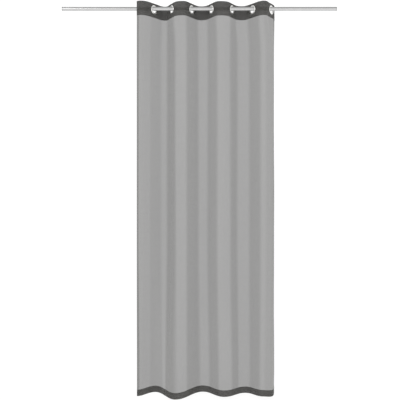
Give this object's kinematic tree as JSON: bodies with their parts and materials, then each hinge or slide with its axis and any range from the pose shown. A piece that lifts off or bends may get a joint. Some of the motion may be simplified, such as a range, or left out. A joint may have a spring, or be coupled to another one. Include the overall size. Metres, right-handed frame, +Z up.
{
  "type": "curtain panel",
  "caption": "Sheer grey voile curtain panel with darker header and hem, hung by metal eyelets on a plain round metal rod; it slides and draws together along the rod.",
  "frame": {"origin": "on the rod's axis, halfway along the rod", "axes": "+X along the rod to the right as seen from the room, +Y from the room towards the wall, +Z up"},
  "size_m": [1.72, 0.1712, 2.4503],
  "materials": {
    "rod": "brushed, satin",
    "rod_plug": "satin",
    "eyelet": "nickel-plated, satin",
    "voile": "sheer plain weave, one layer",
    "voile_side_hem": "sheer plain weave, turned edge",
    "voile_folded": "sheer plain weave, three layers",
    "header_tape": "stiff non-woven band"
  },
  "bodies": {
    "rod": {"rod_tube": "rod", "rod_end_plug_left": "rod_plug", "rod_end_plug_right": "rod_plug"},
    "left_margin": {"cloth_left_margin": "voile", "header_left_margin": "voile_folded", "header_tape_left_margin": "header_tape", "hem_left_margin": "voile_folded", "side_hem_left": "voile_side_hem"},
    "strip_1": {"cloth_strip_1": "voile", "header_strip_1": "voile_folded", "header_tape_strip_1": "header_tape", "hem_strip_1": "voile_folded", "eyelet_front_1": "eyelet", "eyelet_back_1": "eyelet"},
    "strip_2": {"cloth_strip_2": "voile", "header_strip_2": "voile_folded", "header_tape_strip_2": "header_tape", "hem_strip_2": "voile_folded", "eyelet_front_2": "eyelet", "eyelet_back_2": "eyelet"},
    "strip_3": {"cloth_strip_3": "voile", "header_strip_3": "voile_folded", "header_tape_strip_3": "header_tape", "hem_strip_3": "voile_folded", "eyelet_front_3": "eyelet", "eyelet_back_3": "eyelet"},
    "strip_4": {"cloth_strip_4": "voile", "header_strip_4": "voile_folded", "header_tape_strip_4": "header_tape", "hem_strip_4": "voile_folded", "eyelet_front_4": "eyelet", "eyelet_back_4": "eyelet"},
    "strip_5": {"cloth_strip_5": "voile", "header_strip_5": "voile_folded", "header_tape_strip_5": "header_tape", "hem_strip_5": "voile_folded", "eyelet_front_5": "eyelet", "eyelet_back_5": "eyelet"},
    "strip_6": {"cloth_strip_6": "voile", "header_strip_6": "voile_folded", "header_tape_strip_6": "header_tape", "hem_strip_6": "voile_folded", "eyelet_front_6": "eyelet", "eyelet_back_6": "eyelet"},
    "strip_7": {"cloth_strip_7": "voile", "header_strip_7": "voile_folded", "header_tape_strip_7": "header_tape", "hem_strip_7": "voile_folded", "eyelet_front_7": "eyelet", "eyelet_back_7": "eyelet"},
    "right_margin": {"cloth_right_margin": "voile", "header_right_margin": "voile_folded", "header_tape_right_margin": "header_tape", "hem_right_margin": "voile_folded", "side_hem_right": "voile_side_hem"}
  },
  "joints": [
    {"name": "panel_slide", "type": "slide", "parent": "rod", "child": "left_margin", "axis": [1, 0, 0], "range_m": [-0.45, 0.37]},
    {"name": "draw", "type": "hinge", "parent": "left_margin", "child": "strip_1", "pos_m": [-0.284, 0, 0], "axis": [0, 0, 1], "range_deg": [0, 32]},
    {"name": "fold_1", "type": "hinge", "parent": "strip_1", "child": "strip_2", "pos_m": [-0.22847, 0.06633, 0], "axis": [0, 0, 1], "range_deg": [-64, 0]},
    {"name": "fold_2", "type": "hinge", "parent": "strip_2", "child": "strip_3", "pos_m": [-0.11048, -0.05795, 0], "axis": [0, 0, 1], "range_deg": [0, 64]},
    {"name": "fold_3", "type": "hinge", "parent": "strip_3", "child": "strip_4", "pos_m": [0.01345, 0.05983, 0], "axis": [0, 0, 1], "range_deg": [-64, 0]},
    {"name": "fold_4", "type": "hinge", "parent": "strip_4", "child": "strip_5", "pos_m": [0.13945, -0.0548, 0], "axis": [0, 0, 1], "range_deg": [0, 64]},
    {"name": "fold_5", "type": "hinge", "parent": "strip_5", "child": "strip_6", "pos_m": [0.26797, 0.05723, 0], "axis": [0, 0, 1], "range_deg": [-64, 0]},
    {"name": "fold_6", "type": "hinge", "parent": "strip_6", "child": "strip_7", "pos_m": [0.39046, -0.06399, 0], "axis": [0, 0, 1], "range_deg": [0, 64]},
    {"name": "right_edge_turn", "type": "hinge", "parent": "strip_7", "child": "right_margin", "pos_m": [0.44896, 0, 0], "axis": [0, 0, 1], "range_deg": [-32, 0]}
  ],
  "couplings": [
    {"joint": "fold_1", "follows": "draw", "ratio": -2},
    {"joint": "fold_2", "follows": "draw", "ratio": 2},
    {"joint": "fold_3", "follows": "draw", "ratio": -2},
    {"joint": "fold_4", "follows": "draw", "ratio": 2},
    {"joint": "fold_5", "follows": "draw", "ratio": -2},
    {"joint": "fold_6", "follows": "draw", "ratio": 2},
    {"joint": "right_edge_turn", "follows": "draw", "ratio": -1}
  ]
}
